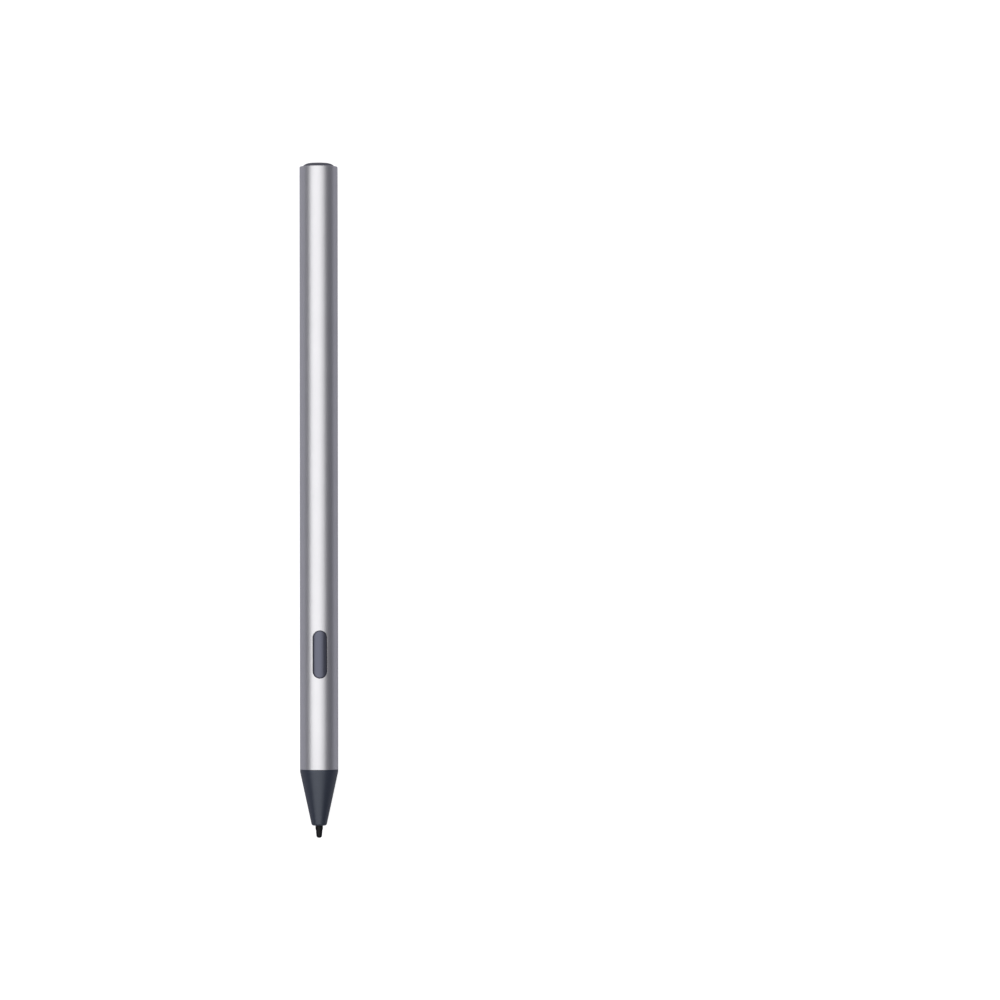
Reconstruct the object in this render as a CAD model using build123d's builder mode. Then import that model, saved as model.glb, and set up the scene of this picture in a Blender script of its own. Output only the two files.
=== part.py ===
from build123d import *
import os

# A slim battery-free digital stylus: an aluminium tube with a moulded nose cone, a
# replaceable nib, one side button and a pressed-in end cap. Millimetres. The pen lies
# on its flat with +X towards the nib and +Z through the side button. The origin is
# under the middle of the pen, on the surface that it rests on.
# A station is a distance behind the nib's tip. Heights and depths are from the axis.

# Driving dimensions
pen_length = 157.6
barrel_radius = 4.45
barrel_wall = 0.6
rest_depth = 4.07
barrel_front = 15.94
barrel_back = 156.73
cone_front = 2.87
cone_tip_radius = 1.72
collar_radius = 4.44
button_station = 42.78
button_length = 11.0
button_width = 3.2
button_gap = 0.1
nib_travel = 0.3

# Sizes that follow from them
half_length = pen_length / 2
bore_radius = barrel_radius - barrel_wall
bore_flat = rest_depth - barrel_wall
slide_fit = 0.02
plug_radius = bore_radius - slide_fit
plug_flat = bore_flat - slide_fit
insert_radius = bore_radius - 0.10
insert_flat = bore_flat - 0.07

pen_axis = Axis((0, 0, rest_depth), (1, 0, 0))
lengthwise = Plane(origin=(half_length, 0, rest_depth), x_dir=(-1, 0, 0), z_dir=(0, 1, 0))


def across(station):
    """The plane across the pen at a station; its x is +Y, its y is +Z."""
    return Plane(origin=(half_length - station, 0, rest_depth), x_dir=(0, 1, 0), z_dir=(1, 0, 0))


def level(station, height):
    """The level plane at a height above the axis, centred on a station."""
    return Plane(origin=(half_length - station, 0, rest_depth + height), z_dir=(0, 0, 1))


def turned(*points, mode=Mode.ADD):
    """Turn a closed outline of (station, radius) points about the pen's axis."""
    with BuildSketch(lengthwise) as outline:
        with BuildLine():
            Polyline(*points, close=True)
        make_face()
    revolve(outline.sketch, axis=pen_axis, mode=mode)


def ring(front, back, inner, outer, mode=Mode.ADD):
    """A round ring or disc on the pen's axis between two stations."""
    turned((front, inner), (front, outer), (back, outer), (back, inner), mode=mode)


def d_rod(front, back, radius, flat, mode=Mode.ADD):
    """A rod between two stations, round except for a level flat on its lower side."""
    with BuildSketch(across(back)) as section:
        Circle(radius)
        with Locations((0, -flat)):
            Rectangle(2 * radius, radius, align=(Align.CENTER, Align.MAX), mode=Mode.SUBTRACT)
    extrude(section.sketch, amount=back - front, mode=mode)


def block(front, back, width, bottom, top, mode=Mode.ADD):
    """A rectangular block on the pen's centre plane, between two stations and heights."""
    with BuildSketch(level((front + back) / 2, bottom)) as footprint:
        Rectangle(back - front, width)
    extrude(footprint.sketch, amount=top - bottom, mode=mode)


def pill(station, length, width, bottom, top, mode=Mode.ADD):
    """A round-ended block along the pen, between two heights."""
    with BuildSketch(level(station, bottom)) as footprint:
        SlotOverall(length, width)
    extrude(footprint.sketch, amount=top - bottom, mode=mode)


def peg(station, radius, bottom, top, mode=Mode.ADD):
    """An upright round peg on the pen's centre plane, between two heights."""
    with BuildSketch(level(station, bottom)) as footprint:
        Circle(radius)
    extrude(footprint.sketch, amount=top - bottom, mode=mode)


def save(piece, name):
    """Label a finished piece and write it as its own STEP file."""
    piece.part.label = name
    export_step(piece.part, f"parts/{name}.step")


os.makedirs("parts", exist_ok=True)

# ---- Barrel: drawn aluminium tube, round outside and in except for the flat
slot_length = button_length + 2 * button_gap
slot_width = button_width + 2 * button_gap
rim_round = 0.5
slot_bevel = 0.1

with BuildPart() as barrel:
    d_rod(barrel_front, barrel_back, barrel_radius, rest_depth)
    fillet(barrel.edges().group_by(Axis.X)[0], rim_round)
    d_rod(barrel_front, barrel_back, bore_radius, bore_flat, mode=Mode.SUBTRACT)
    pill(button_station, slot_length, slot_width, 0, 2 * barrel_radius, mode=Mode.SUBTRACT)
    slot_middle = half_length - button_station
    slot_rim = (
        barrel.edges()
        .filter_by_position(Axis.X, slot_middle - slot_length, slot_middle + slot_length)
        .filter_by_position(Axis.Z, rest_depth + bore_radius + 0.1, rest_depth + barrel_radius)
    )
    chamfer(slot_rim, slot_bevel)
save(barrel, "barrel")

# ---- Nose cone: one plastic moulding, a hollow taper with a spigot inside the barrel
collar_front = 15.4
spigot_back = 22.5
mouth_radius = 1.0
cushion_front = 5.9
core_front = 6.4
cushion_bore_radius = 1.7
coil_bore_front = 9.0
coil_bore_radius = 2.35
seal_groove_radius = 3.3
cone_seal_front = 18.0
cone_seal_back = 19.0
cone_tip_round = 0.5

with BuildPart() as nose_cone:
    turned(
        (cone_front, 0), (cone_front, cone_tip_radius), (collar_front, collar_radius),
        (barrel_front, collar_radius), (barrel_front, 0),
    )
    fillet(nose_cone.edges().group_by(Axis.X)[-1], cone_tip_round)
    split(bisect_by=Plane.XY, keep=Keep.TOP)
    d_rod(barrel_front, spigot_back, plug_radius, plug_flat)
    ring(cone_front, cushion_front, 0, mouth_radius, mode=Mode.SUBTRACT)
    ring(cushion_front, coil_bore_front, 0, cushion_bore_radius, mode=Mode.SUBTRACT)
    ring(coil_bore_front, spigot_back, 0, coil_bore_radius, mode=Mode.SUBTRACT)
    ring(cone_seal_front, cone_seal_back, seal_groove_radius, barrel_radius, mode=Mode.SUBTRACT)
save(nose_cone, "nose_cone")

# ---- Seals: rubber bands with a D outline in the grooves of the cone and the end cap
cap_front = 150.0
cap_seal_front = 152.0
cap_seal_back = 153.2

for seal_name, seal_front, seal_back in (
    ("cone_seal", cone_seal_front, cone_seal_back),
    ("cap_seal", cap_seal_front, cap_seal_back),
):
    with BuildPart() as seal:
        d_rod(seal_front, seal_back, bore_radius - 0.01, bore_flat - 0.01)
        ring(seal_front, seal_back, 0, seal_groove_radius + 0.01, mode=Mode.SUBTRACT)
    save(seal, seal_name)

# ---- End cap: a plug with a low dome that stands out of the tube's end
cap_crown = (pen_length - 0.02, 1.2)
cap_edge = (pen_length - 0.10, 2.3)
cap_shoulder = (pen_length - 0.33, 3.2)

with BuildPart() as end_cap:
    with BuildSketch(lengthwise):
        with BuildLine():
            Polyline((barrel_back, plug_radius), (barrel_back, 0), (pen_length, 0))
            ThreePointArc((pen_length, 0), cap_crown, cap_edge)
            ThreePointArc(cap_edge, cap_shoulder, (barrel_back, plug_radius))
        make_face()
    revolve(axis=pen_axis)
    split(bisect_by=level(barrel_back, -plug_flat), keep=Keep.TOP)
    d_rod(cap_front, barrel_back, plug_radius, plug_flat)
    ring(cap_seal_front, cap_seal_back, seal_groove_radius, barrel_radius, mode=Mode.SUBTRACT)
    ring(cap_front, cap_seal_back, 0, 2.4, mode=Mode.SUBTRACT)
save(end_cap, "end_cap")

# ---- Nib: a hard plastic point on a long thin shank
nib_head_radius = 0.875
nib_shank_radius = 0.75
nib_neck_station = 2.15
nib_point_station = 1.75
nib_point_radius = 0.77
nib_ball_station = 0.72
nib_ball_radius = 0.68
nib_shoulder = 3.4
nib_back = 28.0

with BuildPart() as nib:
    with BuildSketch(lengthwise):
        with BuildLine():
            ThreePointArc((0, 0), (0.19, 0.45), (nib_ball_station, nib_ball_radius))
            Polyline(
                (nib_ball_station, nib_ball_radius), (nib_point_station, nib_point_radius),
                (nib_neck_station, nib_head_radius), (nib_shoulder, nib_head_radius),
                (nib_shoulder + 0.2, nib_shank_radius), (nib_back, nib_shank_radius),
                (nib_back, 0), (0, 0),
            )
        make_face()
    revolve(axis=pen_axis)
save(nib, "nib")

# ---- Antenna: ferrite tube on a rubber cushion, with a close-wound coil of enamelled wire
core_back = 24.4
core_radius = 1.5
core_bore_radius = 0.95
coil_front = 9.6
coil_turns = 31
coil_pitch = 0.4
coil_root_radius = 1.9
coil_back = coil_front + coil_turns * coil_pitch

with BuildPart() as front_cushion:
    ring(cushion_front, core_front, mouth_radius, cushion_bore_radius - 0.05)
save(front_cushion, "front_cushion")

with BuildPart() as ferrite_core:
    ring(core_front, core_back, core_bore_radius, core_radius)
save(ferrite_core, "ferrite_core")

with BuildPart() as coil_winding:
    with BuildSketch(lengthwise):
        with BuildLine():
            Polyline(
                (coil_front, coil_root_radius), (coil_front, core_radius),
                (coil_back, core_radius), (coil_back, coil_root_radius),
            )
            for turn in range(coil_turns):
                turn_front = coil_front + turn * coil_pitch
                ThreePointArc(
                    (turn_front, coil_root_radius),
                    (turn_front + coil_pitch / 2, coil_root_radius + coil_pitch / 2),
                    (turn_front + coil_pitch, coil_root_radius),
                )
        make_face()
    revolve(axis=pen_axis)
save(coil_winding, "coil_winding")

# ---- Pressure sensor: the nib's cup presses a rubber tip towards a ceramic disc
housing_front = 23.1
housing_back = 34.0
housing_radius = 3.0
housing_bore_radius = 2.4
cup_front = 25.9
cup_flange_front = 29.2
cup_flange_back = 30.0
disc_front = 31.9
disc_back = 32.4
terminal_back = 32.7
disc_radius = housing_bore_radius - slide_fit

with BuildPart() as sensor_housing:
    ring(housing_front, housing_back, 0, housing_radius)
    ring(housing_front, core_back, 0, core_radius + slide_fit, mode=Mode.SUBTRACT)
    ring(core_back, cup_front - 0.7, 0, core_bore_radius, mode=Mode.SUBTRACT)
    ring(cup_front - 0.7, housing_back, 0, housing_bore_radius, mode=Mode.SUBTRACT)
save(sensor_housing, "sensor_housing")

with BuildPart() as nib_holder:
    ring(cup_front, cup_flange_front, 0, 1.6)
    ring(cup_flange_front, cup_flange_back, 0, 2.2)
    ring(cup_front, nib_back + 0.05, 0, nib_shank_radius + slide_fit, mode=Mode.SUBTRACT)
    turned((cup_front, 0), (cup_front, 1.1), (cup_front + 0.35, 0), mode=Mode.SUBTRACT)
save(nib_holder, "nib_holder")

with BuildPart() as pressure_rubber:
    ring(cup_flange_back, disc_front - nib_travel - 0.05, 0, 1.0)
    fillet(pressure_rubber.edges().group_by(Axis.X)[0], 0.4)
save(pressure_rubber, "pressure_rubber")

spring_wire_radius = 0.1
spring_radius = 1.35
spring_height = disc_front - cup_flange_back - 2 * spring_wire_radius - 0.04
spring_end = disc_front - spring_wire_radius - 0.02

with BuildPart() as contact_spring:
    with BuildLine() as spring_path:
        Helix(
            pitch=0.55, height=spring_height, radius=spring_radius,
            center=(half_length - spring_end, 0, rest_depth), direction=(1, 0, 0),
        )
    with BuildSketch(Plane(origin=spring_path.line @ 0, z_dir=spring_path.line % 0)):
        Circle(spring_wire_radius)
    sweep(path=spring_path.line, is_frenet=True)
save(contact_spring, "contact_spring")

with BuildPart() as dielectric_disc:
    ring(disc_front, disc_back, 0, disc_radius)
save(dielectric_disc, "dielectric_disc")

# The terminal is a thin brass disc with a tail that reaches over the circuit board.
board_front = 36.0
board_top = 0.3

with BuildPart() as sensor_terminal:
    ring(disc_back, terminal_back, 0, disc_radius)
    block(terminal_back, board_front + 1.2, 1.2, board_top, board_top + 0.15)
save(sensor_terminal, "sensor_terminal")

# ---- Circuit carrier: a moulded trough that the board lies in
carrier_front = housing_back
carrier_back = 92.0
trough_width = 4.7
board_back = 86.0
board_width = 4.2
board_thickness = 0.8
board_bottom = board_top - board_thickness
screw_stations = (51.4, 84.2)
screw_radius = 0.5
under_trough_width = 3.2
under_trough_floor = -2.0

with BuildPart() as circuit_carrier:
    d_rod(carrier_front, carrier_back, insert_radius, insert_flat)
    block(carrier_front, carrier_back - 2, trough_width, board_bottom, barrel_radius, mode=Mode.SUBTRACT)
    for trough_front, trough_back in ((board_front, 50.0), (52.8, 82.8)):
        block(
            trough_front, trough_back, under_trough_width, under_trough_floor, board_bottom,
            mode=Mode.SUBTRACT,
        )
    for station in screw_stations:
        peg(station, screw_radius, -2.4, board_bottom, mode=Mode.SUBTRACT)
save(circuit_carrier, "circuit_carrier")

with BuildPart() as circuit_board:
    block(board_front, board_back, board_width, board_bottom, board_top)
    fillet(circuit_board.edges().filter_by(Axis.Z), 0.3)
    for station in screw_stations:
        peg(station, screw_radius + 0.1, board_bottom, board_top, mode=Mode.SUBTRACT)
save(circuit_board, "circuit_board")

with BuildPart() as board_screws:
    for station in screw_stations:
        peg(station, screw_radius, -2.4, board_top)
        peg(station, 1.0, board_top, board_top + 0.4)
        peg(station, 0.45, board_top + 0.2, board_top + 0.4, mode=Mode.SUBTRACT)
save(board_screws, "board_screws")

with BuildPart() as control_chip:
    block(60.0, 63.0, 3.0, board_top, board_top + 0.75)
    chamfer(control_chip.edges().group_by(Axis.Z)[-1], 0.1)
save(control_chip, "control_chip")

capacitor_length = 1.0
capacitor_width = 0.5
capacitor_stations = (54.6, 56.4, 58.2, 66.0, 68.0, 70.0)

with BuildPart() as tuning_capacitors:
    for station in capacitor_stations:
        with BuildSketch(level(station, board_top)):
            with GridLocations(0, 1.8, 1, 2):
                Rectangle(capacitor_length, capacitor_width)
    extrude(amount=0.5)
save(tuning_capacitors, "tuning_capacitors")

# ---- Coil leads: two enamelled wires from the winding, over the sensor, to the board
lead_radius = 0.1
lead_start_radius = 1.75
lead_run_radius = 3.4
lead_gap_station = (spigot_back + housing_front) / 2
lead_drop_station = 35.3
lead_end_station = board_front + 1.4
lead_board_height = board_top + lead_radius
lead_bends = (0.3, 0.3, 0.9, 0.9)
lead_offset = 0.9

with BuildPart() as coil_leads:
    for side in (-1, 1):
        with BuildSketch(across(coil_back)) as lead_section:
            with Locations((side * lead_offset, lead_start_radius)):
                Circle(lead_radius)
        with BuildLine(lengthwise.offset(side * lead_offset)) as lead_route:
            FilletPolyline(
                (coil_back, lead_start_radius),
                (lead_gap_station, lead_start_radius),
                (lead_gap_station, lead_run_radius),
                (lead_drop_station, lead_run_radius),
                (lead_drop_station, lead_board_height),
                (lead_end_station, lead_board_height),
                radius=lead_bends,
            )
        sweep(lead_section.sketch, path=lead_route.line)
save(coil_leads, "coil_leads")

# ---- Side switch: body, snap dome, cover and stem, under the button's rubber pad
switch_length = 4.4
switch_width = 3.2
switch_front = button_station - switch_length / 2
switch_back = button_station + switch_length / 2
switch_top = board_top + 1.0
cover_top = switch_top + 0.15
well_floor = board_top + 0.3
well_radius = 1.25
stem_radius = 0.6
stem_foot = switch_top - 0.3
stem_top = 1.9
pad_top = 2.3
button_floor = 2.7

with BuildPart() as switch_body:
    block(switch_front, switch_back, switch_width, board_top, switch_top)
    peg(button_station, well_radius, well_floor, switch_top, mode=Mode.SUBTRACT)
save(switch_body, "switch_body")

with BuildPart() as switch_cover:
    block(switch_front, switch_back, switch_width, switch_top, cover_top)
    peg(button_station, stem_radius + 0.12, switch_top, cover_top, mode=Mode.SUBTRACT)
save(switch_cover, "switch_cover")

dome_foot_radius = well_radius - 0.05
dome_height = 0.35
dome_sheet = 0.07
dome_plane = Plane(
    origin=(half_length - button_station, 0, rest_depth + well_floor),
    x_dir=(1, 0, 0), z_dir=(0, -1, 0),
)
switch_axis = Axis(dome_plane.origin, (0, 0, 1))

with BuildPart() as switch_dome:
    with BuildSketch(dome_plane):
        with BuildLine():
            TangentArc((0, dome_height), (dome_foot_radius, dome_sheet), tangent=(1, 0))
            Polyline(
                (dome_foot_radius, dome_sheet), (dome_foot_radius, 0),
                (dome_foot_radius - dome_sheet, 0),
            )
            TangentArc(
                (0, dome_height - dome_sheet), (dome_foot_radius - dome_sheet, 0), tangent=(1, 0)
            )
            Line((0, dome_height - dome_sheet), (0, dome_height))
        make_face()
    revolve(axis=switch_axis)
save(switch_dome, "switch_dome")

with BuildPart() as switch_stem:
    peg(button_station, 1.0, stem_foot, stem_foot + 0.2)
    peg(button_station, stem_radius, stem_foot + 0.2, stem_top)
save(switch_stem, "switch_stem")

with BuildPart() as button_pad:
    peg(button_station, 0.9, stem_top, pad_top)
save(button_pad, "button_pad")

# ---- Side button: a moulded key with an inner flange, crowned a little more than the barrel
key_top = barrel_radius + 0.15
key_crown_radius = 3.4
flange_length = 12.3
flange_width = 4.1
flange_front = button_station - flange_length / 2
flange_back = button_station + flange_length / 2
key_round = 0.2

with BuildPart() as button:
    pill(button_station, flange_length, flange_width, button_floor, barrel_radius)
    ring(flange_front, flange_back, 0, insert_radius, mode=Mode.INTERSECT)
    pill(button_station, button_length, button_width, button_floor, 2 * barrel_radius)
    with BuildSketch(across(flange_back)):
        with Locations((0, key_top - key_crown_radius)):
            Circle(key_crown_radius)
    extrude(amount=flange_length, mode=Mode.INTERSECT)
    key_rim = button.edges().filter_by_position(
        Axis.Z, rest_depth + bore_radius + 0.2, rest_depth + key_top
    )
    fillet(key_rim, key_round)
    peg(button_station, 0.8, pad_top, button_floor)
save(button, "button")

# ---- Magnets that hold the pen to a tablet's side, in their moulded carrier
magnet_carrier_front = 93.0
magnet_carrier_back = 148.0
magnet_length = 13.0
magnet_width = 3.0
magnet_bottom = -3.3
magnet_top = -1.7
pocket_gap = 0.05
magnets = {"front_magnet": 103.0, "middle_magnet": 120.5, "rear_magnet": 138.0}
rib_pocket_length = 12.0
rib_pocket_stations = (102.0, 115.0, 128.0, 139.5)

with BuildPart() as magnet_carrier:
    d_rod(magnet_carrier_front, magnet_carrier_back, insert_radius, insert_flat)
    for station in magnets.values():
        block(
            station - magnet_length / 2 - pocket_gap, station + magnet_length / 2 + pocket_gap,
            magnet_width + 2 * pocket_gap, -barrel_radius, magnet_top, mode=Mode.SUBTRACT,
        )
    for station in rib_pocket_stations:
        block(
            station - rib_pocket_length / 2, station + rib_pocket_length / 2,
            trough_width, -0.5, barrel_radius, mode=Mode.SUBTRACT,
        )
save(magnet_carrier, "magnet_carrier")

for magnet_name, station in magnets.items():
    with BuildPart() as magnet:
        block(
            station - magnet_length / 2, station + magnet_length / 2,
            magnet_width, magnet_bottom, magnet_top,
        )
        chamfer(magnet.edges().filter_by(Axis.Z), 0.2)
    save(magnet, magnet_name)

# ---- Foam spacers that keep the inner carriers from rattling
for spacer_name, spacer_front, spacer_back in (
    ("front_spacer", carrier_back, magnet_carrier_front),
    ("rear_spacer", magnet_carrier_back, cap_front),
):
    with BuildPart() as spacer:
        d_rod(spacer_front, spacer_back, insert_radius - 0.1, insert_flat - 0.1)
    save(spacer, spacer_name)
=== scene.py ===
from math import asin, atan2, cos, pi, radians, sin, sqrt, tan

import bmesh
import bpy
from mathutils import Matrix, Vector


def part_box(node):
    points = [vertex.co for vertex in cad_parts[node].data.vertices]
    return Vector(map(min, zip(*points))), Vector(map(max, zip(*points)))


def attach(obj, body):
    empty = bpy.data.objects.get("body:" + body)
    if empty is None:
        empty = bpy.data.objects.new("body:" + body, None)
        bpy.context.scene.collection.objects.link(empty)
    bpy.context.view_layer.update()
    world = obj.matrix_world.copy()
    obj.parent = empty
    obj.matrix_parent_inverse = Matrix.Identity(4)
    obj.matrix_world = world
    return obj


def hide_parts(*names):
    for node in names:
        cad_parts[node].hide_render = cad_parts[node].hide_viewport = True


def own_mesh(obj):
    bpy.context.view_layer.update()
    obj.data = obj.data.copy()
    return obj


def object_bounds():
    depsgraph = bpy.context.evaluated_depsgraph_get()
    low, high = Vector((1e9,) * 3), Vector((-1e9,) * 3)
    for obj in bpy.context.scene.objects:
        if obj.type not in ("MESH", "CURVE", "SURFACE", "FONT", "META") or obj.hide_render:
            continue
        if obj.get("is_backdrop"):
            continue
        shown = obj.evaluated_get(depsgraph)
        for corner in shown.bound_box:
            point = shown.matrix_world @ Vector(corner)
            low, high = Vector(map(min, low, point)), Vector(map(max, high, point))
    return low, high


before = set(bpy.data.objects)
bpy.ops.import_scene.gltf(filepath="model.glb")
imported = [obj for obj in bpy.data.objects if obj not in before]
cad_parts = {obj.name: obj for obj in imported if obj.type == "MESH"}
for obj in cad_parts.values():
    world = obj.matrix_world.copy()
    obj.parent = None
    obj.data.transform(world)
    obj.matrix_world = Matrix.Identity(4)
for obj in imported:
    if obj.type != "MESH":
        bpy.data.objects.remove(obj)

cad_low, cad_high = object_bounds()

# Barrel. An aluminium tube, drawn with a flat along its underside, bead-blasted and clear
# anodised. The button's slot is milled through it and its edge is cut bright afterwards.
# Stations are millimetres behind the nib's tip; across and up are from the tube's axis.
MM = 0.001
tip_x = cad_high[0]
barrel_low, barrel_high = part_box("barrel")
barrel_radius = (barrel_high[1] - barrel_low[1]) / 2 / MM
axis_z = barrel_high[2] - barrel_radius * MM
rest_depth = (axis_z - barrel_low[2]) / MM
barrel_front = (tip_x - barrel_high[0]) / MM
barrel_back = (tip_x - barrel_low[0]) / MM
wall = 0.6
bore_radius = barrel_radius - wall
bore_flat = rest_depth - wall
rim_round = 0.15
front_round = 0.06
flat_corner = 0.5
key_low, key_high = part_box("button")
key_station = (tip_x - (key_low[0] + key_high[0]) / 2) / MM
slot_width = 3.36
slot_spine = 3.9
slot_bevel = 0.03
slot_bevel_depth = 0.03
patch_reach = 8.5
patch_angle = radians(62)
patch_rows, patch_columns, patch_rings = 56, 28, 14
ring_crowding = 1.5
rear_rows = 12
patch_stations = [patch_reach * (2 * k / patch_rows - 1) for k in range(patch_rows + 1)]
side_columns, corner_columns, flat_columns = 34, 6, 6
weld_distance = 0.0001 * MM
sharp_angle = radians(32)


def place(station, across, up):
    """A point of the frame, in metres."""
    return (tip_x - station * MM, across * MM, axis_z + up * MM)


def loop_round(radius, flat, corner):
    """A loop round the tube as (across, up) points, starting left of the slot's patch."""
    reach = sqrt((radius - corner) ** 2 - (flat - corner) ** 2)
    turn = atan2(reach, corner - flat)
    top = [-patch_angle + 2 * patch_angle * k / patch_columns for k in range(patch_columns + 1)]
    side = [patch_angle + (turn - patch_angle) * k / side_columns for k in range(1, side_columns)]
    right = [(radius * sin(a), radius * cos(a)) for a in side]
    for k in range(corner_columns + 1):
        bend = turn + (pi - turn) * k / corner_columns
        right.append((reach + corner * sin(bend), corner * cos(bend) + corner - flat))
    bottom = [(reach * (1 - 2 * k / flat_columns), -flat) for k in range(1, flat_columns)]
    left = [(-across, up) for across, up in reversed(right)]
    return [(radius * sin(a), radius * cos(a)) for a in top] + right + bottom + left


def strip(bm, first, second, finish_number=0):
    """Quads between two closed rows of vertices, in one of the piece's finishes."""
    for k in range(len(first)):
        face = bm.faces.new((first[k - 1], first[k], second[k], second[k - 1]))
        face.material_index = finish_number


def patch_edge(rows):
    """The patch's border vertices in order, from a list of rows."""
    last = patch_columns
    return (
        [row[0] for row in rows]
        + rows[-1][1:last]
        + [row[last] for row in reversed(rows)]
        + rows[0][last - 1 : 0 : -1]
    )


def border_places():
    """For each border vertex, (station from the slot's middle, angle from the top)."""
    turns = [patch_angle * (2 * k / patch_columns - 1) for k in range(1, patch_columns)]
    return (
        [(u, -patch_angle) for u in patch_stations]
        + [(patch_reach, a) for a in turns]
        + [(u, patch_angle) for u in reversed(patch_stations)]
        + [(-patch_reach, a) for a in reversed(turns)]
    )


def slot_rays():
    """For each border vertex, the slot's spine point and the outward direction from it."""
    rays = []
    for along, angle in border_places():
        spine = max(-slot_spine, min(slot_spine, along))
        outward = Vector((along - spine, barrel_radius * angle)).normalized()
        rays.append((spine, outward))
    return rays


def skin(bm, radius, flat, corner, insets, edge_reach):
    """A tube's surface with the slot left open; returns its two end loops and the slot's loop."""
    patch_back = key_station + patch_reach
    before = [(barrel_front + distance, inset) for distance, inset in insets["front"]]
    patch = [(key_station + u, 0) for u in patch_stations]
    behind = [
        (patch_back + (barrel_back - patch_back) * k / rear_rows, 0) for k in range(1, rear_rows)
    ]
    after = [(barrel_back - distance, inset) for distance, inset in insets["back"]]
    first_row = len(before)
    last_row = first_row + patch_rows
    rows = []
    for number, (station, inset) in enumerate(before + patch + behind + after):
        left_open = range(1, patch_columns) if first_row < number < last_row else ()
        loop = loop_round(radius - inset, flat - inset, corner)
        rows.append([
            None if column in left_open else bm.verts.new(place(station, across, up))
            for column, (across, up) in enumerate(loop)
        ])
    for number, (first, second) in enumerate(zip(rows, rows[1:])):
        for k in range(len(first)):
            if not (first_row <= number < last_row and 0 < k <= patch_columns):
                bm.faces.new((first[k - 1], first[k], second[k], second[k - 1]))
    ring = patch_edge(rows[first_row : last_row + 1])
    for step in range(1, patch_rings + 1):
        share = 1 - (1 - step / patch_rings) ** ring_crowding
        following = []
        for (along, angle), (spine, outward) in zip(border_places(), slot_rays()):
            edge_along = spine + edge_reach * outward.x
            edge_angle = asin(edge_reach * outward.y / radius)
            u = along + (edge_along - along) * share
            a = angle + (edge_angle - angle) * share
            following.append(
                bm.verts.new(place(key_station + u, radius * sin(a), radius * cos(a)))
            )
        strip(bm, ring, following)
        ring = following
    return rows[0], rows[-1], ring


def round_insets(size, steps=6):
    """(distance from the end, inset) pairs for a rounded end of a tube."""
    pairs = []
    for k in range(steps + 1):
        turn = pi / 2 * k / steps
        pairs.append((size * (1 - sin(turn)), size * (1 - cos(turn))))
    return pairs


def piece(name, bm, node, body, finishes):
    """Close a mesh, make it an object in place of a CAD node, and give it its finishes."""
    bmesh.ops.remove_doubles(bm, verts=bm.verts, dist=weld_distance)
    bmesh.ops.recalc_face_normals(bm, faces=bm.faces)
    mesh = bpy.data.meshes.new(name)
    bm.to_mesh(mesh)
    bm.free()
    mesh.shade_smooth()
    mesh.set_sharp_from_angle(angle=sharp_angle)
    made = bpy.data.objects.new(name, mesh)
    bpy.context.collection.objects.link(made)
    for material in finishes:
        mesh.materials.append(material)
    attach(made, body)
    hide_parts(node)
    return made


class Wire:
    """A shader socket. Arithmetic on wires adds Math nodes to the same material."""

    def __init__(self, tree, socket=None):
        self.tree = tree
        self.socket = socket

    def node(self, kind, settings=None, inputs=None, output=0):
        """Add a node: its settings first, then its sockets' numbers, colours or wires."""
        made = self.tree.nodes.new(kind)
        for key, value in (settings or {}).items():
            setattr(made, key, value)
        for key, value in (inputs or {}).items():
            if isinstance(value, Wire):
                self.tree.links.new(value.socket, made.inputs[key])
            else:
                made.inputs[key].default_value = value
        return Wire(self.tree, made.outputs[output] if made.outputs else None)

    def math(self, operation, first, second):
        return self.node("ShaderNodeMath", {"operation": operation}, {0: first, 1: second})

    def __add__(self, other):
        return self.math("ADD", self, other)

    __radd__ = __add__

    def __mul__(self, other):
        return self.math("MULTIPLY", self, other)

    __rmul__ = __mul__

    def noise(self, scale, detail=3.0, stretch=(1, 1, 1)):
        """Noise over the object's own coordinates, in features per metre."""
        spot = self.node("ShaderNodeTexCoord", output="Object")
        spot = self.node("ShaderNodeMapping", inputs={"Vector": spot, "Scale": stretch})
        return self.node("ShaderNodeTexNoise", inputs={
            "Vector": spot, "Scale": scale, "Detail": detail, "Roughness": 0.55})

    def blend(self, share, first, second):
        """A colour between two colours."""
        return self.node("ShaderNodeMix", {"data_type": "RGBA"},
                         {0: share, 6: first, 7: second}, output=2)

    def bump(self, height, depth):
        """A normal from a height map; depth is the relief in metres."""
        return self.node("ShaderNodeBump", inputs={
            "Height": height, "Distance": depth, "Strength": 1.0})


def finish(name, shader):
    """A material whose shader function gets a wire and returns the surface."""
    material = bpy.data.materials.new(name)
    material.use_nodes = True
    material.node_tree.nodes.clear()
    wire = Wire(material.node_tree)
    wire.node("ShaderNodeOutputMaterial", inputs={"Surface": shader(wire)})
    return material


def blasted_aluminium(wire):
    grain = wire.noise(5200, detail=4)
    cloud = wire.noise(160, detail=2)
    return wire.node("ShaderNodeBsdfPrincipled", inputs={
        "Base Color": wire.blend(cloud, (0.645, 0.64, 0.65, 1), (0.685, 0.68, 0.69, 1)),
        "Metallic": 1.0,
        "Roughness": 0.35 + 0.10 * grain,
        "Normal": wire.bump(grain, 0.000004),
    })


def bright_cut(wire):
    lines = wire.noise(2500, detail=2, stretch=(0.1, 1, 1))
    return wire.node("ShaderNodeBsdfPrincipled", inputs={
        "Base Color": (0.86, 0.86, 0.88, 1),
        "Metallic": 1.0,
        "Roughness": 0.16 + 0.08 * lines,
    })


aluminium = finish("blasted_aluminium", blasted_aluminium)
cut_edge = finish("bright_cut_edge", bright_cut)

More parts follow.
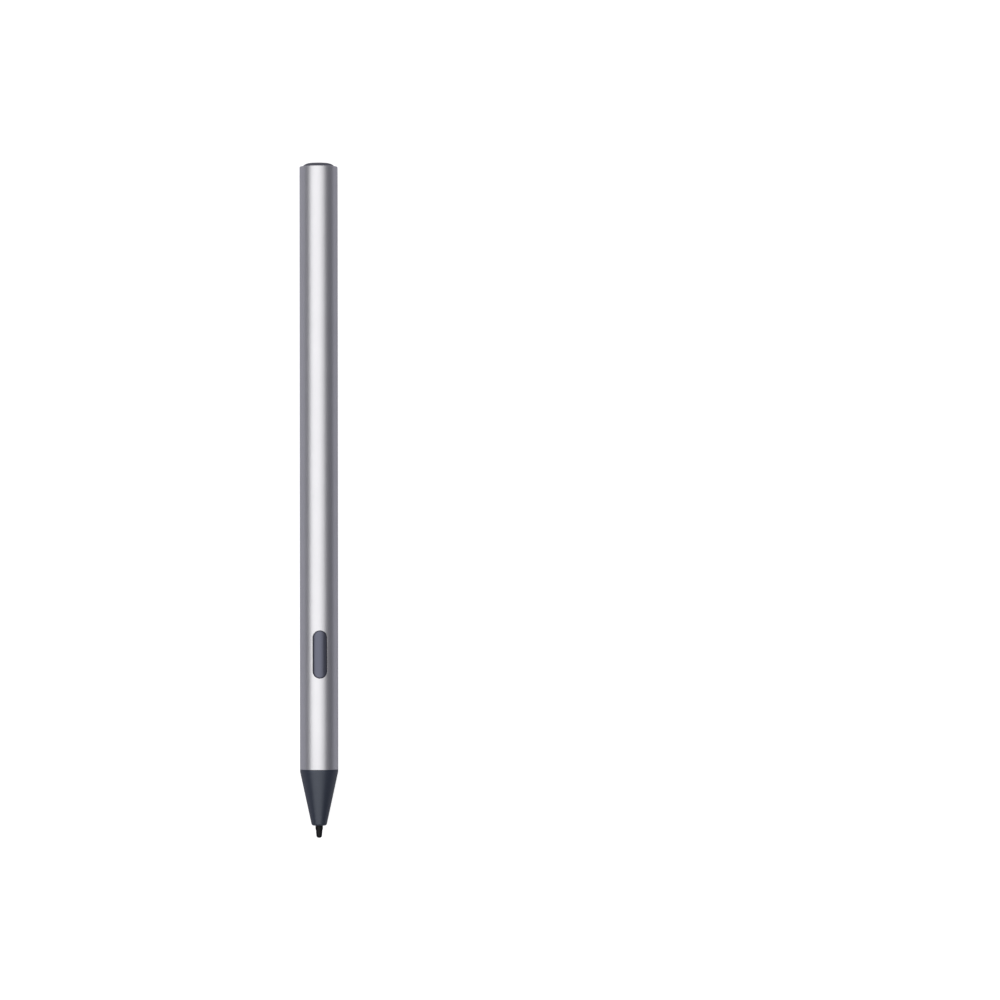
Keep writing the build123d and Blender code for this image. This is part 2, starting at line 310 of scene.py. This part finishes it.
tube = bmesh.new()
outer_front, outer_back, outer_slot = skin(
    tube, barrel_radius, rest_depth, flat_corner,
    {"front": round_insets(front_round, 3)[::-1], "back": round_insets(rim_round)},
    slot_width / 2 + slot_bevel,
)
inner_front, inner_back, inner_slot = skin(
    tube, bore_radius, bore_flat, flat_corner,
    {"front": [(0, 0)], "back": [(0, 0)]},
    slot_width / 2,
)
strip(tube, outer_front, inner_front)
strip(tube, outer_back, inner_back)
bevel_foot = [
    tube.verts.new(place(
        key_station + spine + slot_width / 2 * outward.x,
        slot_width / 2 * outward.y,
        sqrt(barrel_radius ** 2 - (slot_width / 2 * outward.y) ** 2) - slot_bevel_depth,
    ))
    for spine, outward in slot_rays()
]
strip(tube, outer_slot, bevel_foot, finish_number=1)
strip(tube, bevel_foot, inner_slot)
piece("barrel_shell", tube, "barrel", "pen_body", (aluminium, cut_edge))

# Nose cone. One hollow moulding in dark blue-grey plastic: a straight taper that ends in a
# short collar against the tube, with a spigot inside it. The mould left a fine texture.
cone_front = (tip_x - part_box("nose_cone")[1][0]) / MM
spigot_back = (tip_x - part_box("nose_cone")[0][0]) / MM
cone_tip_radius = 1.72
collar_front = 15.4
collar_radius = 4.44
tip_round, collar_round, collar_edge_round = 0.52, 0.8, 0.04
plug_gap = 0.02
plug_radius = bore_radius - plug_gap
plug_flat = bore_flat - plug_gap
plug_edge_round = 0.1
mouth_radius, mouth_round = 1.0, 0.12
cushion_front, cushion_bore = 5.9, 1.7
coil_front, coil_bore = 9.0, 2.35
groove_radius = 3.3
cone_groove_front, cone_groove_back = 18.0, 19.0


def rounded(*corners, steps=8):
    """An outline through (station, radius, rounding) corners with each rounding as an arc."""
    outline = []
    ones_before = corners[-1:] + corners[:-1]
    ones_after = corners[1:] + corners[:1]
    for before, corner, after in zip(ones_before, corners, ones_after):
        spot, rounding = Vector(corner[:2]), corner[2]
        back = (Vector(before[:2]) - spot).normalized()
        ahead = (Vector(after[:2]) - spot).normalized()
        if rounding == 0:
            outline.append(spot)
            continue
        half = back.angle(ahead) / 2
        centre = spot + (back + ahead).normalized() * rounding / sin(half)
        start = spot + back * rounding / tan(half) - centre
        end = spot + ahead * rounding / tan(half) - centre
        outline += [centre + rounding * start.slerp(end, k / steps) for k in range(steps + 1)]
    return outline


def lathe(outline, flat_at=lambda radius: rest_depth, columns=192):
    """A closed outline turned about the axis, with its underside cut level."""
    bm = bmesh.new()
    turns = [2 * pi * k / columns for k in range(columns)]
    rings = []
    for station, radius in outline:
        low = -flat_at(radius)
        rings.append([
            bm.verts.new(place(station, radius * sin(turn), max(low, radius * cos(turn))))
            for turn in turns
        ])
    for first, second in zip(rings, rings[1:] + rings[:1]):
        strip(bm, first, second)
    return bm


def textured_plastic(wire):
    grain = wire.noise(9000)
    cloud = wire.noise(400, detail=2)
    return wire.node("ShaderNodeBsdfPrincipled", inputs={
        "Base Color": wire.blend(cloud, (0.020, 0.025, 0.038, 1), (0.025, 0.031, 0.047, 1)),
        "Specular IOR Level": 0.76,
        "Specular Tint": (0.86, 0.91, 1, 1),
        "Roughness": 0.32 + 0.12 * grain,
        "Normal": wire.bump(grain, 0.000005),
    })


cone = lathe(
    rounded(
        (cone_front, mouth_radius, mouth_round), (cone_front, cone_tip_radius, tip_round),
        (collar_front, collar_radius, collar_round),
        (barrel_front, collar_radius, collar_edge_round),
        (barrel_front, plug_radius, 0),
        (cone_groove_front, plug_radius, 0), (cone_groove_front, groove_radius, 0),
        (cone_groove_back, groove_radius, 0), (cone_groove_back, plug_radius, 0),
        (spigot_back, plug_radius, plug_edge_round), (spigot_back, coil_bore, plug_edge_round),
        (coil_front, coil_bore, 0), (coil_front, cushion_bore, 0),
        (cushion_front, cushion_bore, 0), (cushion_front, mouth_radius, 0),
    ),
    flat_at=lambda radius: rest_depth if radius > bore_radius else plug_flat,
)
plastic = finish("cone_plastic", textured_plastic)
piece("nose_cone_shell", cone, "nose_cone", "pen_body", (plastic,))

# Nib. A hard, near-black plastic point with a rounded end, turned down behind the point to a
# thin shank that pushes into the sensor's cup. It pulls straight out when it is worn.
nib_back = (tip_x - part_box("nib")[0][0]) / MM
nib_point_radius, nib_point_round = 0.62, 0.55
nib_taper_back, nib_taper_radius, nib_taper_round = 1.75, 0.765, 0.3
nib_head_front, nib_head_back = 2.15, 3.4
nib_head_radius, nib_head_round = 0.875, 0.2
nib_shank_front, nib_shank_radius, nib_shank_round = 3.6, 0.75, 0.1


def worn_nylon(wire):
    grain = wire.noise(4000)
    return wire.node("ShaderNodeBsdfPrincipled", inputs={
        "Base Color": wire.blend(grain, (0.007, 0.007, 0.008, 1), (0.011, 0.011, 0.012, 1)),
        "Specular IOR Level": 0.12,
        "Roughness": 0.34 + 0.12 * grain,
        "Normal": wire.bump(grain, 0.000003),
    })


point = lathe(
    rounded(
        (0, 0, 0), (0, nib_point_radius, nib_point_round),
        (nib_taper_back, nib_taper_radius, nib_taper_round),
        (nib_head_front, nib_head_radius, nib_head_round),
        (nib_head_back, nib_head_radius, nib_shank_round),
        (nib_shank_front, nib_shank_radius, nib_shank_round),
        (nib_back, nib_shank_radius, nib_shank_round), (nib_back, 0, 0),
    ),
    columns=96,
)
nylon = finish("nib_nylon", worn_nylon)
piece("nib_point", point, "nib", "nib", (nylon,))

# End cap. A dark slate plug pressed into the tube, with a low dome that stands just proud of
# the tube's rounded rim.
cap_front = (tip_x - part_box("end_cap")[1][0]) / MM
cap_end = (tip_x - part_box("end_cap")[0][0]) / MM
dome_shoulder, dome_drop, dome_round = 3.11, 0.07, 2.3
cap_groove_front, cap_groove_back = 152.0, 153.2
cap_bore = 2.4


def slate_coat(wire):
    grain = wire.noise(7000)
    return wire.node("ShaderNodeBsdfPrincipled", inputs={
        "Base Color": wire.blend(grain, (0.085, 0.085, 0.105, 1), (0.10, 0.10, 0.12, 1)),
        "Roughness": 0.36 + 0.12 * grain,
        "Normal": wire.bump(grain, 0.000004),
    })


cap = lathe(
    rounded(
        (cap_end, 0, 0), (cap_end - dome_drop, dome_shoulder, dome_round),
        (barrel_back, plug_radius, 0),
        (cap_groove_back, plug_radius, 0), (cap_groove_back, groove_radius, 0),
        (cap_groove_front, groove_radius, 0), (cap_groove_front, plug_radius, 0),
        (cap_front, plug_radius, plug_edge_round), (cap_front, cap_bore, 0),
        (cap_groove_back, cap_bore, 0), (cap_groove_back, 0, 0),
        steps=16,
    ),
    flat_at=lambda radius: plug_flat,
)
slate = finish("cap_slate", slate_coat)
piece("end_cap_dome", cap, "end_cap", "pen_body", (slate,))

# Side button. A round-ended moulded key, crowned across its width, with softened edges. A
# flange under the tube's wall keeps it in, and a round post under it presses the switch.
key_width = 3.2
key_spine = 3.9
key_top = (key_high[2] - axis_z) / MM
key_crown_radius = 2.7
key_round = 0.22
flange_reach = 2.05
flange_floor = 2.7
flange_gap = 0.1
flange_radius = bore_radius - flange_gap
post_radius = 0.8
post_foot = (key_low[2] - axis_z) / MM
end_steps, side_steps = 28, 16
crown_rings, edge_rings = 10, 8


def key_rays():
    """Spine points and outward directions round the key, starting at its left side."""
    rays = []
    for k in range(side_steps):
        rays.append((key_spine * (1 - 2 * k / side_steps), Vector((0, -1))))
    for k in range(end_steps):
        turn = pi * k / end_steps
        rays.append((-key_spine, Vector((-sin(turn), -cos(turn)))))
    return rays + [(-spine, -outward) for spine, outward in rays]


def key_loop(bm, reach, height):
    """A loop at a distance from the key's spine, with its height from a function of across."""
    return [
        bm.verts.new(place(
            key_station + spine + reach * outward.x, reach * outward.y, height(reach * outward.y)
        ))
        for spine, outward in key_rays()
    ]


def crown(across):
    """The height of the key's crowned top."""
    return key_top - key_crown_radius + sqrt(key_crown_radius ** 2 - across ** 2)


def under_wall(across):
    """The height of the flange's top, which follows the inside of the tube's wall."""
    return sqrt(flange_radius ** 2 - across ** 2)


key = bmesh.new()
key_reach = key_width / 2
loops = [
    key_loop(key, (key_reach - key_round) * k / crown_rings, crown)
    for k in range(1, crown_rings + 1)
]
key.faces.new(loops[0])
for k in range(1, edge_rings + 1):
    turn = pi / 2 * k / edge_rings
    drop = key_round * (1 - cos(turn))
    loops.append(
        key_loop(
            key, key_reach - key_round * (1 - sin(turn)),
            lambda across, drop=drop: crown(across) - drop,
        )
    )
loops.append(key_loop(key, key_reach, under_wall))
loops.append(key_loop(key, flange_reach, under_wall))
loops.append(key_loop(key, flange_reach, lambda across: flange_floor))
for height in (flange_floor, post_foot):
    ring = []
    for spine, outward in key_rays():
        aim = Vector((spine, 0)) + flange_reach * outward
        aim = aim.normalized() * post_radius
        ring.append(key.verts.new(place(key_station + aim.x, aim.y, height)))
    loops.append(ring)
key.faces.new(loops[-1])
for first, second in zip(loops, loops[1:]):
    strip(key, first, second)


def satin_key(wire):
    grain = wire.noise(8000)
    return wire.node("ShaderNodeBsdfPrincipled", inputs={
        "Base Color": wire.blend(grain, (0.115, 0.12, 0.158, 1), (0.132, 0.138, 0.177, 1)),
        "Metallic": 0.75,
        "Roughness": 0.30 + 0.08 * grain,
        "Normal": wire.bump(grain, 0.000003),
    })


key_finish = finish("key_satin", satin_key)
piece("side_button", key, "button", "side_button", (key_finish,))

# Inner pieces. They stay as the frame has them, and each family of like pieces gets the
# finish of its own material.


def plain_finish(name, dark, light, roughness, metallic, grain_scale, depth):
    """A finish with a grain that varies its colour, roughness and relief."""
    def shader(wire):
        grain = wire.noise(grain_scale)
        return wire.node("ShaderNodeBsdfPrincipled", inputs={
            "Base Color": wire.blend(grain, (*dark, 1), (*light, 1)),
            "Metallic": metallic,
            "Roughness": roughness + 0.12 * grain,
            "Normal": wire.bump(grain, depth),
        })
    return finish(name, shader)


inner_finishes = (
    (plain_finish("rubber", (0.012, 0.012, 0.012), (0.022, 0.022, 0.022), 0.75, 0, 5000, 1e-5),
     ("front_cushion", "pressure_rubber", "button_pad", "cone_seal", "cap_seal")),
    (plain_finish("ferrite", (0.035, 0.035, 0.038), (0.06, 0.06, 0.065), 0.5, 0.2, 9000, 6e-6),
     ("ferrite_core",)),
    (plain_finish("enamelled_copper", (0.42, 0.14, 0.05), (0.55, 0.22, 0.08), 0.25, 1, 3000, 2e-6),
     ("coil_winding", "coil_leads")),
    (plain_finish("moulded_black", (0.018, 0.018, 0.02), (0.028, 0.028, 0.03), 0.45, 0, 7000, 4e-6),
     ("sensor_housing", "nib_holder", "circuit_carrier", "switch_body", "switch_stem",
      "magnet_carrier")),
    (plain_finish("spring_steel", (0.48, 0.48, 0.49), (0.6, 0.6, 0.61), 0.22, 1, 6000, 1e-6),
     ("contact_spring", "board_screws", "switch_dome", "switch_cover")),
    (plain_finish("fired_ceramic", (0.62, 0.55, 0.42), (0.72, 0.66, 0.54), 0.35, 0, 8000, 3e-6),
     ("dielectric_disc", "tuning_capacitors")),
    (plain_finish("stamped_brass", (0.60, 0.42, 0.16), (0.70, 0.52, 0.22), 0.28, 1, 4000, 1e-6),
     ("sensor_terminal",)),
    (plain_finish("lacquered_board", (0.01, 0.075, 0.035), (0.016, 0.1, 0.05), 0.25, 0, 1500, 2e-6),
     ("circuit_board",)),
    (plain_finish("chip_resin", (0.014, 0.014, 0.016), (0.024, 0.024, 0.026), 0.55, 0, 9000, 3e-6),
     ("control_chip",)),
    (plain_finish("nickel_plate", (0.56, 0.53, 0.47), (0.66, 0.63, 0.57), 0.2, 1, 3000, 1e-6),
     ("front_magnet", "middle_magnet", "rear_magnet")),
    (plain_finish("foam", (0.02, 0.02, 0.02), (0.05, 0.05, 0.05), 0.85, 0, 2500, 5e-5),
     ("front_spacer", "rear_spacer")),
)
for inner_finish, names in inner_finishes:
    for name in names:
        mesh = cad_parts[name].data
        mesh.materials.clear()
        mesh.materials.append(inner_finish)

# Springs. The coil spring behind the nib's cup and the domed spring in the side switch are each
# copied into a mesh of their own, fixed to the pen's body, and the frame's pieces are hidden.
for name, joint, axis, travel in (
    ("contact_spring", "nib_press", (1, 0, 0), 0.3),
    ("switch_dome", "button_press", (0, 0, 1), 0.25),
):
    low, high = (Vector(corner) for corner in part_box(name))
    spring = bpy.data.objects.new(name + "_flexing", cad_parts[name].data.copy())
    bpy.context.collection.objects.link(spring)
    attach(spring, "pen_body")
    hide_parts(name)
    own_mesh(spring)

# Studio. A white sweep under the pen, a large soft light of four panels above it that is dimmer
# at its right end, and dim surroundings that leave darker bands along the tube's sides.
sky = bpy.data.worlds.new("studio")
bpy.context.scene.world = sky
sky.use_nodes = True
sky.node_tree.nodes.clear()
air = Wire(sky.node_tree)
seen = air.node("ShaderNodeLightPath", output="Is Camera Ray")
backdrop = air.node("ShaderNodeBackground", inputs={"Color": (1, 1, 1, 1), "Strength": 1.0})
dim = air.node("ShaderNodeBackground", inputs={"Color": (0.84, 0.85, 1, 1), "Strength": 0.15})
air.node("ShaderNodeOutputWorld", inputs={
    "Surface": air.node("ShaderNodeMixShader", inputs={0: seen, 1: dim, 2: backdrop})})


def white_sweep(wire):
    seen = wire.node("ShaderNodeLightPath", output="Is Camera Ray")
    glow = wire.node("ShaderNodeEmission", inputs={"Color": (1, 1, 1, 1), "Strength": 0.8})
    white = wire.node("ShaderNodeBsdfDiffuse", inputs={"Color": (0.5, 0.5, 0.5, 1)})
    grey = wire.node("ShaderNodeBsdfDiffuse", inputs={"Color": (0.45, 0.45, 0.50, 1)})
    lit = wire.node("ShaderNodeAddShader", inputs={0: glow, 1: white})
    return wire.node("ShaderNodeMixShader", inputs={0: seen, 1: grey, 2: lit})


sweep_size = 8.0
bpy.ops.mesh.primitive_plane_add(size=sweep_size, location=(0, 0, 0))
sweep = bpy.context.active_object
sweep.name = "white_sweep"
sweep.data.materials.append(finish("white_sweep", white_sweep))
sweep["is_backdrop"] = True

light_height = 1.3
light_length = 3.6
light_lead = -0.3
# Each panel: the degrees from straight up where it starts and stops, and watts a square metre.
panels = ((-56, -36, 4.3), (-36, -14, 4.15), (-14, 8, 4.225), (8, 32, 3.05))
for number, (start, stop, strength) in enumerate(panels):
    near, far = (light_height * tan(radians(angle)) for angle in (start, stop))
    panel = bpy.data.lights.new(f"softbox_{number}", "AREA")
    panel.shape = "RECTANGLE"
    panel.size, panel.size_y = light_length, far - near
    panel.energy = strength * light_length * (far - near)
    lamp = bpy.data.objects.new(panel.name, panel)
    lamp.location = (light_lead, (near + far) / 2, light_height)
    bpy.context.collection.objects.link(lamp)

# Camera. High above the pen, a little towards its nib and its left side, turned so that the
# pen lies left of the picture's middle with its cap up.
camera_height = 1.111
camera_lead = 0.023
camera_side = -0.055
pen_shift = 0.03816
lens = bpy.data.cameras.new("camera")
lens.sensor_width = 36.0
lens.lens = 170.75
lens.clip_start, lens.clip_end = 0.05, 20.0
camera = bpy.data.objects.new("camera", lens)
bpy.context.collection.objects.link(camera)
bpy.context.scene.camera = camera
eye = Vector((camera_lead, camera_side, camera_height))
down = Vector((-camera_lead, 0, axis_z - camera_height)).normalized()
side = Vector((0, 1, 0))
turn = atan2(-camera_side, camera_height - axis_z) + pen_shift
ahead = down * cos(turn) + side * sin(turn)
right = side * cos(turn) - down * sin(turn)
up = right.cross(ahead)
camera.matrix_world = Matrix.Translation(eye) @ Matrix((right, up, -ahead)).transposed().to_4x4()

bpy.context.scene.view_settings.view_transform = "Standard"
low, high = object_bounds()
